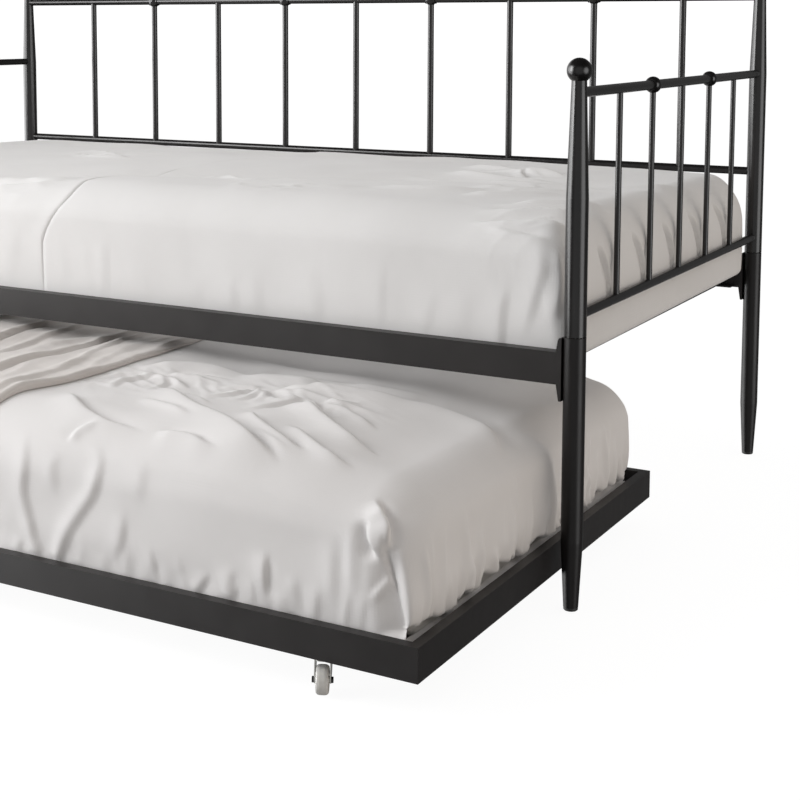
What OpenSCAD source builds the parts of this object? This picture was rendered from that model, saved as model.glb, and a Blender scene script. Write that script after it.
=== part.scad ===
// Metal daybed with a wheeled trundle under it. Millimetres, +Z up, +X along the bed.
// The front of the bed, where the trundle comes out, faces -Y.
// Origin: on the floor, at the centre of the whole outline with the trundle half out.

/* [Daybed frame] */
// Centre distance of the posts along the bed
post_span_x = 1940; // [1920:5:2000]
// Centre distance of the posts across the bed
post_span_y = 1000; // [990:5:1040]
// Outer diameter of a post
post_d = 34; // [32:1:36]
// Outer diameter of a post's tapered tip
tip_d = 23; // [21:1:24]
// Wall thickness of the posts
post_wall = 1.5; // [1.2:0.1:2]
// Length of the taper under each ball
top_taper = 175; // [150:5:180]
// Length of the taper at each foot
foot_taper = 103; // [90:1:120]
// Height of the joint between the lower leg and the upper post
seam_z = 425; // [424:1:430]
// Height of the front balls' centres
front_ball_z = 825; // [820:5:860]
// Height of the back balls' centres
back_ball_z = 980; // [975:5:1000]
// Diameter of the ball finials
ball_d = 38; // [36:1:40]

/* [Panels] */
// Diameter of the horizontal bars of the panels
bar_d = 16; // [16:1:18]
// Height of the side panels' top bar
side_top_z = 792; // [780:1:795]
// Height of the side panels' bottom bar
side_bottom_z = 456; // [452:1:470]
// Height of the back panel's top bar
back_top_z = 948; // [940:1:950]
// Height of the back panel's bottom bar
back_bottom_z = 592; // [585:1:600]
// Diameter of the back spindles
back_spindle_d = 14; // [12:1:15]
// Diameter of the side spindles
side_spindle_d = 10; // [9:1:12]
// Spacing of the back spindles
back_pitch = 195; // [185:1:198]
// Sideways shift of the row of back spindles
back_shift = 31; // [0:1:35]
// Spacing of the side spindles
side_pitch = 161; // [150:1:165]
// Diameter of the cast knuckles on the top bars
knuckle_d = 28; // [26:1:30]

/* [Rails and slats] */
// Height of the rails' lower edge
rail_z = 350; // [345:1:355]
// Height of a rail's cross-section
rail_h = 50; // [45:1:52]
// Thickness of a rail's cross-section
rail_t = 20; // [18:1:22]
// Number of slats under the upper mattress
slat_count = 12; // [8:1:14]
// Width of an upper slat
slat_w = 30; // [25:1:40]
// Height of an upper slat
slat_h = 20; // [18:1:20]

/* [Trundle] */
// Length of the trundle frame
trundle_l = 1890; // [1860:5:1892]
// Depth of the trundle frame
trundle_d = 910; // [880:5:920]
// Height of the trundle rails' lower edge
trundle_z = 53; // [53:1:55]
// Height of a trundle rail
trundle_h = 48; // [45:1:50]
// Width of a trundle rail's top face
trundle_t = 16; // [15:1:18]
// How far the trundle's front stands out from the middle of the bed
trundle_reach = 967; // [940:1:990]
// Number of slats under the lower mattress
trundle_slat_count = 11; // [8:1:12]

/* [Mattresses] */
// Length of the upper mattress
mattress_l = 1916; // [1900:2:1918]
// Depth of the upper mattress
mattress_d = 958; // [940:2:960]
// Thickness of the upper mattress
mattress_h = 224; // [200:2:230]
// Length of the lower mattress
trundle_mattress_l = 1850; // [1800:2:1852]
// Depth of the lower mattress
trundle_mattress_d = 870; // [840:2:872]
// Thickness of the lower mattress
trundle_mattress_h = 236; // [200:2:238]
// Length of the folded blanket on the lower mattress
blanket_l = 1140; // [600:10:1140]
// Thickness of the folded blanket
blanket_h = 25; // [20:1:26]

/* [Casters] */
// Diameter of a caster wheel
wheel_d = 40; // [38:1:40]
// Width of a caster wheel
wheel_w = 17; // [16:1:20]
// Distance of a caster from the middle of the trundle along the bed
caster_x = 788; // [775:1:820]
// Distance of a caster's swivel axis inside the trundle's edge
caster_inset = 29; // [28:1:31]
// Distance between a caster's swivel axis and its wheel axle
caster_trail = 14; // [13:1:15]
// Angle that the casters are swivelled by, seen from above
caster_yaw = 26; // [-30:1:30]

/* [Hidden] */
$fn = 48;

// Colours
POWDER = [0.16, 0.16, 0.16];
STEEL = [0.75, 0.75, 0.73];
NYLON = [0.86, 0.86, 0.84];
SHEET = [0.87, 0.85, 0.82];
BLANKET = [0.74, 0.71, 0.67];

// Gaps
joint_gap = 0.05;   // between welded or sleeved pieces
bolt_gap = 0.2;     // around a bolt in its clearance hole
run_gap = 0.08;     // around a turning pin
soft_gap = 0.5;     // around bedding

// Posts and legs
post_x = post_span_x / 2;
post_y = post_span_y / 2;
post_r = post_d / 2;
tip_r = tip_d / 2;
ball_r = ball_d / 2;
ball_drop = sqrt(ball_r * ball_r - tip_r * tip_r);
sleeve_wall = 3;
glide_h = 5;

// Panels
bar_r = bar_d / 2;
bar_wall = 1.2;
knuckle_half = 12.5;
stud_r = 4;
stud_reach = 30;

// Rails, brackets and slats
rail_wall = 1.5;
bracket_t = 3;
bracket_x = post_x - post_r - 0.1;
bracket_low = rail_z - 25;
bracket_high = rail_z + rail_h + 22;
bracket_wing = 8;
wing_t = 2;
bolt_r = 3;
bolt_zs = [bracket_low + 12.5, bracket_high - 11];
sleeve_low = bracket_low + 2;
sleeve_h = seam_z + 40 - sleeve_low;
rail_half = bracket_x - bracket_t;
ledge_w = 25;
ledge_t = 3;
ledge_z = rail_z + 2;
ledge_half = rail_half - 15;
slat_z = ledge_z + ledge_t;
slat_half = post_y - rail_t / 2 - ledge_t - 0.5;
slat_wall = 1.2;
slat_pitch = (2 * ledge_half - 80) / (slat_count - 1);
slat_end = (slat_count - 1) / 2;
screw_r = 2.4;
mattress_z = slat_z + slat_h + soft_gap;
mattress_front = -post_y + rail_t / 2 + ledge_t + 3;

// Trundle
trundle_half_l = trundle_l / 2;
trundle_half_d = trundle_d / 2;
trundle_wall = 1.5;
trundle_ledge_w = 20;
trundle_ledge_z = trundle_z + 5;
trundle_slat_h = 15;
trundle_slat_w = 30;
trundle_slat_z = trundle_ledge_z + ledge_t;
trundle_slat_half = trundle_half_d - trundle_t - 0.5;
trundle_slat_pitch = (trundle_l - 110) / (trundle_slat_count - 1);
trundle_slat_end = (trundle_slat_count - 1) / 2;
trundle_mattress_z = trundle_slat_z + trundle_slat_h + soft_gap;
blanket_z = trundle_mattress_z + trundle_mattress_h + soft_gap;

// Casters
wheel_r = wheel_d / 2;
stem_r = 4;
axle_r = 2.5;
fork_t = 1.6;
fork_half = wheel_w / 2 + 1.4 + fork_t;
fork_top = trundle_z - 7;
race_r = 14;
race_ball_r = 1.3;
race_ball_ring = 10.5;
race_ball_count = 12;
caster_y = trundle_half_d - caster_inset;
shoulder_drop = 0.7;
shoulder_in = 2;
wheel_nose = (caster_trail + wheel_r - shoulder_drop) * cos(caster_yaw)
    + (wheel_w / 2 - shoulder_in) * sin(abs(caster_yaw));

// The bed is shifted so that the whole outline, from the front wheels' edge
// to the back balls, is centred on the origin
front_edge = trundle_reach - caster_inset + wheel_nose;
bed_y = (max(front_edge, trundle_reach) - post_y - ball_r) / 2;
trundle_y = bed_y - trundle_reach + trundle_half_d;

// ---- Posts, legs and finials ----

// Outer outline of a post above the seam, as points (radius, height)
function post_outline(top, grow) = [
    [0, seam_z], [post_r + grow, seam_z], [post_r + grow, top - top_taper],
    [tip_r + grow, top], [0, top]
];

module upper_post(sx, sy, ball_z) {
    top = ball_z - ball_drop;
    color(POWDER) at_post(sx, sy) difference() {
        rotate_extrude() polygon([
            [post_r - post_wall, seam_z + joint_gap], [post_r, seam_z + joint_gap + 0.8],
            [post_r, top - top_taper], [tip_r, top], [tip_r - post_wall, top],
            [post_r - post_wall, top - top_taper]
        ]);
        if (sy > 0)
            for (z = [back_top_z, back_bottom_z])
                translate([0, 0, z]) rotate([0, -90 * sx, 0])
                    cylinder(r = stud_r + bolt_gap, h = post_d);
    }
}

module lower_leg(sx, sy) {
    color(POWDER) at_post(sx, sy) difference() {
        rotate_extrude() polygon([
            [tip_r - post_wall, glide_h], [tip_r, glide_h], [post_r, glide_h + foot_taper],
            [post_r, seam_z - 0.8], [post_r - post_wall, seam_z],
            [post_r - post_wall, glide_h + foot_taper]
        ]);
        for (z = bolt_zs)
            translate([0, 0, z]) rotate([0, -90 * sx, 0])
                cylinder(r = bolt_r + bolt_gap, h = post_d);
    }
}

module finial(sx, sy, ball_z) {
    stem_top = ball_z - ball_drop;
    color(POWDER) at_post(sx, sy) union() {
        difference() {
            translate([0, 0, ball_z]) sphere(r = ball_r, $fn = 64);
            translate([0, 0, ball_z - 2 * ball_r]) cylinder(r = ball_r, h = 2 * ball_r - ball_drop);
        }
        translate([0, 0, stem_top - 12]) cylinder(r = tip_r - post_wall - 0.2, h = 12.5);
    }
}

// Steel sleeve inside each post, across the seam; the bracket bolts thread into it
module leg_sleeves() {
    sleeve_r = post_r - post_wall - joint_gap;
    color(STEEL) for (sx = [-1, 1], sy = [-1, 1]) at_post(sx, sy) difference() {
        translate([0, 0, sleeve_low]) cylinder(r = sleeve_r, h = sleeve_h);
        translate([0, 0, sleeve_low - 1]) cylinder(r = sleeve_r - sleeve_wall, h = sleeve_h + 2);
        for (z = bolt_zs)
            translate([0, 0, z]) rotate([0, -90 * sx, 0])
                cylinder(r = bolt_r + joint_gap, h = post_d);
    }
}

module foot_glides() {
    color(POWDER) for (sx = [-1, 1], sy = [-1, 1]) at_post(sx, sy) rotate_extrude() polygon([
        [0, 0], [tip_r - 1.5, 0], [tip_r - 0.3, 1.2], [tip_r - 0.3, glide_h],
        [tip_r - post_wall - 0.1, glide_h], [tip_r - post_wall - 0.1, glide_h + 14],
        [0, glide_h + 14]
    ]);
}

module at_post(sx, sy) {
    translate([sx * post_x, bed_y + sy * post_y, 0]) children();
}

// Solid copy of a post, used to cope the ends of the bars that meet it
module post_core(sx, sy, ball_z) {
    at_post(sx, sy) rotate_extrude() polygon(post_outline(ball_z - ball_drop, joint_gap));
}

// ---- Side panels ----

module side_bar(sx, z) {
    color(POWDER) difference() {
        translate([sx * post_x, bed_y - post_y, z]) rotate([-90, 0, 0]) difference() {
            cylinder(r = bar_r, h = post_span_y);
            translate([0, 0, -1]) cylinder(r = bar_r - bar_wall, h = post_span_y + 2);
        }
        post_core(sx, -1, front_ball_z);
        post_core(sx, 1, back_ball_z);
    }
}

module side_spindles(sx) {
    color(POWDER) difference() {
        for (i = [-2:2])
            translate([sx * post_x, bed_y + i * side_pitch, side_bottom_z])
                cylinder(d = side_spindle_d, h = side_top_z - side_bottom_z);
        for (z = [side_top_z, side_bottom_z])
            translate([sx * post_x, bed_y - post_y, z]) rotate([-90, 0, 0])
                cylinder(r = bar_r + joint_gap, h = post_span_y);
        for (i = [-1, 1])
            translate([sx * post_x, bed_y + i * side_pitch, side_top_z])
                sphere(d = knuckle_d + 2 * joint_gap, $fn = 48);
    }
}

// A cast ball around a bar that runs along Z, with a collar that stands out at each end
module knuckle() {
    difference() {
        union() {
            sphere(d = knuckle_d, $fn = 48);
            cylinder(r = bar_r + 2, h = 2 * knuckle_half, center = true);
        }
        cylinder(r = bar_r + joint_gap, h = knuckle_d + 10, center = true);
    }
}

module side_knuckles() {
    color(POWDER) for (sx = [-1, 1], i = [-1, 1])
        translate([sx * post_x, bed_y + i * side_pitch, side_top_z])
            rotate([90, 0, 0]) knuckle();
}

// ---- Back panel ----

module back_bar(z) {
    color(POWDER) difference() {
        translate([-post_x, bed_y + post_y, z]) rotate([0, 90, 0]) difference() {
            cylinder(r = bar_r, h = post_span_x);
            translate([0, 0, -1]) cylinder(r = bar_r - bar_wall, h = post_span_x + 2);
        }
        for (sx = [-1, 1])
            post_core(sx, 1, back_ball_z);
    }
}

module back_spindles() {
    color(POWDER) difference() {
        for (i = [-4:4])
            translate([back_shift + i * back_pitch, bed_y + post_y, back_bottom_z])
                cylinder(d = back_spindle_d, h = back_top_z - back_bottom_z);
        for (z = [back_top_z, back_bottom_z])
            translate([-post_x, bed_y + post_y, z]) rotate([0, 90, 0])
                cylinder(r = bar_r + joint_gap, h = post_span_x);
        for (i = [-3:2:3])
            translate([back_shift + i * back_pitch, bed_y + post_y, back_top_z])
                sphere(d = knuckle_d + 2 * joint_gap, $fn = 48);
    }
}

module back_knuckles() {
    color(POWDER) for (i = [-3:2:3])
        translate([back_shift + i * back_pitch, bed_y + post_y, back_top_z])
            rotate([0, 90, 0]) knuckle();
}

// Studs that hold the ends of the back bars, with a plug that fills each bar's bore
module panel_studs() {
    color(STEEL) for (sx = [-1, 1], z = [back_top_z, back_bottom_z])
        translate([sx * post_x, bed_y + post_y, z]) rotate([0, -90 * sx, 0]) {
            translate([0, 0, 4]) cylinder(r = stud_r, h = stud_reach - 4);
            translate([0, 0, 20]) cylinder(r = bar_r - bar_wall - joint_gap, h = stud_reach - 10);
        }
}

// ---- Bed rails, brackets and slats ----

module bed_rail(sy) {
    color(POWDER) translate([0, bed_y + sy * post_y, rail_z + rail_h / 2]) difference() {
        cube([2 * rail_half, rail_t, rail_h], center = true);
        cube([2 * rail_half + 2, rail_t - 2 * rail_wall, rail_h - 2 * rail_wall], center = true);
    }
}

// Angle strip inside a rail that carries the slats' ends
module slat_ledge(sy) {
    inner = post_y - rail_t / 2;
    color(POWDER) translate([0, bed_y, 0]) difference() {
        union() {
            translate([-ledge_half, min(sy * inner, sy * (inner - ledge_w)), ledge_z])
                cube([2 * ledge_half, ledge_w, ledge_t]);
            translate([-ledge_half, min(sy * inner, sy * (inner - ledge_t)), ledge_z])
                cube([2 * ledge_half, ledge_t, slat_h]);
        }
        for (i = [-slat_end:slat_end])
            translate([i * slat_pitch, sy * (slat_half - 11), ledge_z - 1])
                cylinder(r = screw_r + bolt_gap, h = ledge_t + 2);
    }
}

// End plate with tapered wings; sx and sy choose the corner
module rail_bracket(sx, sy) {
    wing = [
        [0, bracket_low], [4, bracket_low], [bracket_wing, rail_z - 1],
        [bracket_wing, rail_z + rail_h + 5], [bracket_wing - 2, bracket_high - 4],
        [bracket_wing - 4, bracket_high], [0, bracket_high]
    ];
    half = rail_t / 2 + wing_t;
    translate([sx * bracket_x, bed_y + sy * post_y, 0]) mirror([sx > 0 ? 1 : 0, 0, 0]) {
        difference() {
            translate([0, -half, bracket_low]) cube([bracket_t, 2 * half, bracket_high - bracket_low]);
            for (z = bolt_zs)
                translate([-1, 0, z]) rotate([0, 90, 0])
                    cylinder(r = bolt_r + bolt_gap, h = bracket_t + 2);
        }
        for (y = [-half, half - wing_t])
            translate([0, y + wing_t, 0]) rotate([90, 0, 0]) linear_extrude(wing_t) polygon(wing);
    }
}

module rail_brackets() {
    color(POWDER) for (sx = [-1, 1], sy = [-1, 1]) rail_bracket(sx, sy);
}

// Button-head socket screws through the brackets into the legs and sleeves
module bracket_bolts() {
    head_r = 5.2;
    head_h = 3;
    reach = post_r + 6;
    color(STEEL) for (sx = [-1, 1], sy = [-1, 1], z = bolt_zs)
        translate([sx * (bracket_x - bracket_t), bed_y + sy * post_y, z])
            rotate([0, 90 * sx, 0]) difference() {
                union() {
                    translate([0, 0, -head_h]) cylinder(r = head_r, h = head_h);
                    translate([0, 0, -0.5]) cylinder(r = bolt_r, h = reach - 6);
                }
                translate([0, 0, -head_h - 1]) cylinder(r = 2.2, h = 3, $fn = 6);
            }
}

module slats() {
    color(POWDER) for (i = [-slat_end:slat_end])
        translate([i * slat_pitch, bed_y, slat_z + slat_h / 2]) difference() {
            cube([slat_w, 2 * slat_half, slat_h], center = true);
            cube([slat_w - 2 * slat_wall, 2 * slat_half + 2, slat_h - 2 * slat_wall], center = true);
            for (sy = [-1, 1])
                translate([0, sy * (slat_half - 11), -slat_h / 2 - 1])
                    cylinder(r = screw_r + joint_gap, h = slat_h / 2);
        }
}

// Pan-head screws from below the ledges into the slats
module slat_screws() {
    color(STEEL) for (i = [-slat_end:slat_end], sy = [-1, 1])
        translate([i * slat_pitch, bed_y + sy * (slat_half - 11), 0]) {
            translate([0, 0, ledge_z - 1.8]) cylinder(r = 4.4, h = 1.8);
            translate([0, 0, ledge_z - 0.5]) cylinder(r = screw_r, h = ledge_t + 8);
        }
}

// Bedding is a plain box with rounded upright edges
module pad(l, d, h, r) {
    linear_extrude(h) hull() for (sx = [-1, 1], sy = [-1, 1])
        translate([sx * (l / 2 - r), sy * (d / 2 - r)]) circle(r = r, $fn = 32);
}

module mattress() {
    color(SHEET) translate([0, bed_y + mattress_front + mattress_d / 2, mattress_z])
        pad(mattress_l, mattress_d, mattress_h, 30);
}

// ---- Trundle ----

// Mitred rectangular tube of outer length l along X, on the inside (+Y) of the edge y = 0
module mitred_tube(l) {
    t = trundle_t;
    w = trundle_wall;
    difference() {
        linear_extrude(trundle_h)
            polygon([[-l / 2, 0], [l / 2, 0], [l / 2 - t, t], [-l / 2 + t, t]]);
        translate([0, 0, w]) linear_extrude(trundle_h - 2 * w)
            polygon([
                [-l / 2 + w + 3, w], [l / 2 - w - 3, w],
                [l / 2 - t + w - 3, t - w], [-l / 2 + t - w + 3, t - w]
            ]);
    }
}

module trundle_long_rail(sy) {
    color(POWDER) translate([0, trundle_y + sy * trundle_half_d, trundle_z])
        rotate([0, 0, sy > 0 ? 180 : 0]) mitred_tube(trundle_l);
}

module trundle_end_rail(sx) {
    color(POWDER) translate([sx * trundle_half_l, trundle_y, trundle_z])
        rotate([0, 0, sx > 0 ? 90 : -90]) mitred_tube(trundle_d);
}

// Strips welded inside the long rails that carry the lower slats, with holes over the caster nuts
module trundle_ledges() {
    inner = trundle_half_d - trundle_t;
    half = trundle_half_l - trundle_t - 1;
    color(POWDER) for (sy = [-1, 1]) difference() {
        translate([-half, trundle_y + min(sy * inner, sy * (inner - trundle_ledge_w)), trundle_ledge_z])
            cube([2 * half, trundle_ledge_w, ledge_t]);
        at_casters() translate([0, 0, trundle_ledge_z - 1]) cylinder(r = 9, h = ledge_t + 2);
    }
}

module trundle_slats() {
    color(POWDER) for (i = [-trundle_slat_end:trundle_slat_end])
        translate([i * trundle_slat_pitch, trundle_y, trundle_slat_z + trundle_slat_h / 2])
            difference() {
                cube([trundle_slat_w, 2 * trundle_slat_half, trundle_slat_h], center = true);
                cube([trundle_slat_w - 2 * slat_wall, 2 * trundle_slat_half + 2,
                    trundle_slat_h - 2 * slat_wall], center = true);
            }
}

module trundle_mattress() {
    color(SHEET) translate([0, trundle_y, trundle_mattress_z])
        pad(trundle_mattress_l, trundle_mattress_d, trundle_mattress_h, 30);
}

module trundle_blanket() {
    color(BLANKET) translate([(blanket_l - trundle_mattress_l) / 2 + 5, trundle_y, blanket_z])
        pad(blanket_l - 10, trundle_mattress_d - 10, blanket_h, 15);
}

// ---- Casters ----

module at_casters() {
    for (sx = [-1, 1], sy = [-1, 1])
        translate([sx * caster_x, trundle_y + sy * caster_y, 0]) children();
}

// One caster's own frame: swivel axis on Z, wheel towards -Y
module at_caster(sx, sy) {
    translate([sx * caster_x, trundle_y + sy * caster_y, 0]) rotate([0, 0, caster_yaw]) children();
}

// Corner plates welded inside the trundle's long rails
module caster_plates() {
    plate_l = 60;
    reach = caster_inset - trundle_t;
    color(POWDER) for (sx = [-1, 1], sy = [-1, 1])
        translate([sx * caster_x, trundle_y + sy * caster_y, trundle_z]) difference() {
            translate([-plate_l / 2, sy > 0 ? -20 : -reach, 0]) cube([plate_l, 20 + reach, ledge_t]);
            translate([0, 0, -1]) cylinder(r = stem_r + bolt_gap, h = ledge_t + 2);
        }
}

// Kingpin with its riveted lower head and its domed upper race, in one turned piece
module caster_stems() {
    color(STEEL) at_casters() rotate_extrude() polygon([
        [0, fork_top - fork_t - 2.2], [6.5, fork_top - fork_t - 2.2],
        [6.5, fork_top - fork_t - 0.25], [stem_r, fork_top - fork_t - 0.25],
        [stem_r, fork_top + 2.9], [race_r, fork_top + 2.9], [race_r, fork_top + 3.9],
        [race_r - 3, fork_top + 5.2], [8, fork_top + 5.8], [8, trundle_z - 0.1],
        [stem_r, trundle_z - 0.1], [stem_r, trundle_z + 12], [stem_r - 0.8, trundle_z + 12.8],
        [0, trundle_z + 12.8]
    ]);
}

module caster_nuts() {
    color(STEEL) at_casters() translate([0, 0, trundle_z + ledge_t]) difference() {
        cylinder(r = 7.2, h = 6, $fn = 6);
        translate([0, 0, -1]) cylinder(r = stem_r + joint_gap, h = 8);
    }
}

// Ring of bearing balls between the fork and the upper race
module caster_balls() {
    color(STEEL) at_casters() for (i = [0:race_ball_count - 1])
        rotate([0, 0, i * 360 / race_ball_count])
            translate([race_ball_ring, 0, fork_top + 1.45]) sphere(r = race_ball_r, $fn = 24);
}

// Stamped fork: a round top with a kingpin hole and two leaf-shaped cheeks
module fork(sx, sy) {
    cheek = fork_top - fork_t;
    color(STEEL) at_caster(sx, sy) {
        difference() {
            translate([0, 0, cheek]) linear_extrude(fork_t) union() {
                circle(r = race_r);
                translate([-fork_half, -11]) square([2 * fork_half, 14]);
            }
            translate([0, 0, cheek - 1]) cylinder(r = stem_r + run_gap, h = fork_t + 2);
        }
        for (s = [-1, 1])
            translate([s * (fork_half - fork_t / 2) - fork_t / 2, 0, 0]) difference() {
                rotate([90, 0, 90]) linear_extrude(fork_t) polygon([
                    [-11, cheek], [9, cheek], [10.5, 34], [6, 25], [-9, 15.5],
                    [-caster_trail, 14.5], [-caster_trail - 5, 17], [-caster_trail - 5, 23],
                    [-15, 33]
                ]);
                translate([-1, -caster_trail, wheel_r]) rotate([0, 90, 0])
                    cylinder(r = axle_r + joint_gap, h = fork_t + 2);
            }
    }
}

// Axle bolt with a low head at one end and a nut at the other
module axle(sx, sy) {
    color(STEEL) at_caster(sx, sy) translate([0, -caster_trail, wheel_r]) rotate([0, 90, 0]) {
        cylinder(r = axle_r, h = 2 * fork_half + 4, center = true);
        translate([0, 0, fork_half]) cylinder(r = 4.6, h = 3, $fn = 6);
        translate([0, 0, -fork_half - 3]) cylinder(r = 4.6, h = 3, $fn = 6);
    }
}

module wheel(sx, sy) {
    w = wheel_w / 2;
    color(NYLON) at_caster(sx, sy) translate([0, -caster_trail, wheel_r]) rotate([0, 90, 0])
        rotate_extrude($fn = 96) polygon([
            [axle_r + run_gap, -w - 0.9], [5, -w - 0.9], [5, -w + 1.5], [wheel_r - 5, -w + 1.5],
            [wheel_r - 4, -w], [wheel_r - 2.5, -w],
            [wheel_r - shoulder_drop, -w + shoulder_in], [wheel_r, -w + 5],
            [wheel_r, w - 5], [wheel_r - shoulder_drop, w - shoulder_in],
            [wheel_r - 2.5, w], [wheel_r - 4, w],
            [wheel_r - 5, w - 1.5], [5, w - 1.5], [5, w + 0.9], [axle_r + run_gap, w + 0.9]
        ]);
}

// ---- Drawing ----

upper_post(-1, -1, front_ball_z);  // post_front_left
upper_post(1, -1, front_ball_z);  // post_front_right
upper_post(-1, 1, back_ball_z);  // post_back_left
upper_post(1, 1, back_ball_z);  // post_back_right
lower_leg(-1, -1);  // leg_front_left
lower_leg(1, -1);  // leg_front_right
lower_leg(-1, 1);  // leg_back_left
lower_leg(1, 1);  // leg_back_right
finial(-1, -1, front_ball_z);  // finial_front_left
finial(1, -1, front_ball_z);  // finial_front_right
finial(-1, 1, back_ball_z);  // finial_back_left
finial(1, 1, back_ball_z);  // finial_back_right
leg_sleeves();
foot_glides();
side_bar(-1, side_top_z);  // side_top_bar_left
side_bar(1, side_top_z);  // side_top_bar_right
side_bar(-1, side_bottom_z);  // side_bottom_bar_left
side_bar(1, side_bottom_z);  // side_bottom_bar_right
side_spindles(-1);  // side_spindles_left
side_spindles(1);  // side_spindles_right
side_knuckles();
back_bar(back_top_z);  // back_top_bar
back_bar(back_bottom_z);  // back_bottom_bar
back_spindles();
back_knuckles();
panel_studs();
bed_rail(-1);  // front_rail
bed_rail(1);  // back_rail
slat_ledge(-1);  // front_ledge
slat_ledge(1);  // back_ledge
rail_brackets();
bracket_bolts();
slats();
slat_screws();
mattress();
trundle_long_rail(-1);  // trundle_front_rail
trundle_long_rail(1);  // trundle_back_rail
trundle_end_rail(-1);  // trundle_left_rail
trundle_end_rail(1);  // trundle_right_rail
trundle_ledges();
trundle_slats();
trundle_mattress();
trundle_blanket();
caster_plates();
caster_stems();
caster_nuts();
caster_balls();
fork(-1, -1);  // fork_front_left
fork(1, -1);  // fork_front_right
fork(-1, 1);  // fork_back_left
fork(1, 1);  // fork_back_right
axle(-1, -1);  // axle_front_left
axle(1, -1);  // axle_front_right
axle(-1, 1);  // axle_back_left
axle(1, 1);  // axle_back_right
wheel(-1, -1);  // wheel_front_left
wheel(1, -1);  // wheel_front_right
wheel(-1, 1);  // wheel_back_left
wheel(1, 1);  // wheel_back_right
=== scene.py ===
"""Looks for the twin metal daybed with its wheeled trundle. Metres, in the CAD frame."""

import math

import bpy
import numpy as np
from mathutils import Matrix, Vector
from mathutils.bvhtree import BVHTree


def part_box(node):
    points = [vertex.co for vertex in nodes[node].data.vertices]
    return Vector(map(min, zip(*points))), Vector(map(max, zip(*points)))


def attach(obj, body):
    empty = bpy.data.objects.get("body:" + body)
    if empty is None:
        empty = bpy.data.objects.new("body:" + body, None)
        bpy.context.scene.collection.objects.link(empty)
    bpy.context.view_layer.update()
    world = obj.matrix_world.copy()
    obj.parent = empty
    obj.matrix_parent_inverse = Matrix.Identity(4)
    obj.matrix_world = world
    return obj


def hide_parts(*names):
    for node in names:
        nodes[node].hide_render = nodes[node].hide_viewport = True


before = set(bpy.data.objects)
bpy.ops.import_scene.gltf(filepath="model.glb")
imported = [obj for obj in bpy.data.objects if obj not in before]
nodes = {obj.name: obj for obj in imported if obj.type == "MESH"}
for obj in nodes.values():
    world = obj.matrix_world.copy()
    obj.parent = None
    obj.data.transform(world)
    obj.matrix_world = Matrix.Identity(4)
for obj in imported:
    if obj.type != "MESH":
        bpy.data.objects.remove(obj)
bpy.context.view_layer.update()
scene = bpy.context.scene


# -------- materials

def new_material(name):
    """A node material, its node tree and its Principled shader."""
    m = bpy.data.materials.new(name)
    m.use_nodes = True
    tree = m.node_tree
    tree.nodes.clear()
    out = tree.nodes.new("ShaderNodeOutputMaterial")
    shader = tree.nodes.new("ShaderNodeBsdfPrincipled")
    tree.links.new(shader.outputs["BSDF"], out.inputs["Surface"])
    return m, tree, shader


def noise(tree, scale, detail, rough, stretch=None):
    """Noise in object space, finer along an axis whose `stretch` is above 1."""
    coord = tree.nodes.new("ShaderNodeTexCoord")
    n = tree.nodes.new("ShaderNodeTexNoise")
    n.inputs["Scale"].default_value = scale
    n.inputs["Detail"].default_value = detail
    n.inputs["Roughness"].default_value = rough
    if stretch:
        mapping = tree.nodes.new("ShaderNodeMapping")
        mapping.inputs["Scale"].default_value = stretch
        tree.links.new(coord.outputs["Object"], mapping.inputs["Vector"])
        tree.links.new(mapping.outputs["Vector"], n.inputs["Vector"])
    else:
        tree.links.new(coord.outputs["Object"], n.inputs["Vector"])
    return n.outputs["Fac"]


def spread(tree, value, low, high, low_in=0.3, high_in=0.7):
    """value mapped from [low_in, high_in] to [low, high]."""
    r = tree.nodes.new("ShaderNodeMapRange")
    r.inputs["From Min"].default_value = low_in
    r.inputs["From Max"].default_value = high_in
    r.inputs["To Min"].default_value = low
    r.inputs["To Max"].default_value = high
    tree.links.new(value, r.inputs["Value"])
    return r.outputs["Result"]


def ramp(tree, value, *stops):
    """value through a colour ramp of (position, (r, g, b)) stops."""
    r = tree.nodes.new("ShaderNodeValToRGB")
    while len(r.color_ramp.elements) < len(stops):
        r.color_ramp.elements.new(0.5)
    for e, (at, c) in zip(r.color_ramp.elements, stops):
        e.position, e.color = at, (*c, 1)
    tree.links.new(value, r.inputs["Fac"])
    return r.outputs["Color"]


def bump(tree, shader, *layers):
    """Bump from (height socket, strength, distance) layers, one on the other."""
    before = None
    for height, strength, distance in layers:
        b = tree.nodes.new("ShaderNodeBump")
        b.inputs["Strength"].default_value = strength
        b.inputs["Distance"].default_value = distance
        tree.links.new(height, b.inputs["Height"])
        if before:
            tree.links.new(before, b.inputs["Normal"])
        before = b.outputs["Normal"]
    tree.links.new(before, shader.inputs["Normal"])


def powder_coat(name, base, high, rough, gloss=0.5):
    """Black satin powder coat: a fine orange peel, and faint patches where it is rubbed."""
    m, t, s = new_material(name)
    t.links.new(ramp(t, noise(t, 9, 4, 0.6), (0.3, base), (0.75, high)), s.inputs["Base Color"])
    rubbed = spread(t, noise(t, 22, 5, 0.65), rough - 0.035, rough + 0.045)
    t.links.new(rubbed, s.inputs["Roughness"])
    s.inputs["Specular IOR Level"].default_value = gloss
    bump(t, s, (noise(t, 700, 2, 0.5), 0.05, 0.0003), (noise(t, 160, 2, 0.5), 0.03, 0.0006))
    return m


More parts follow.
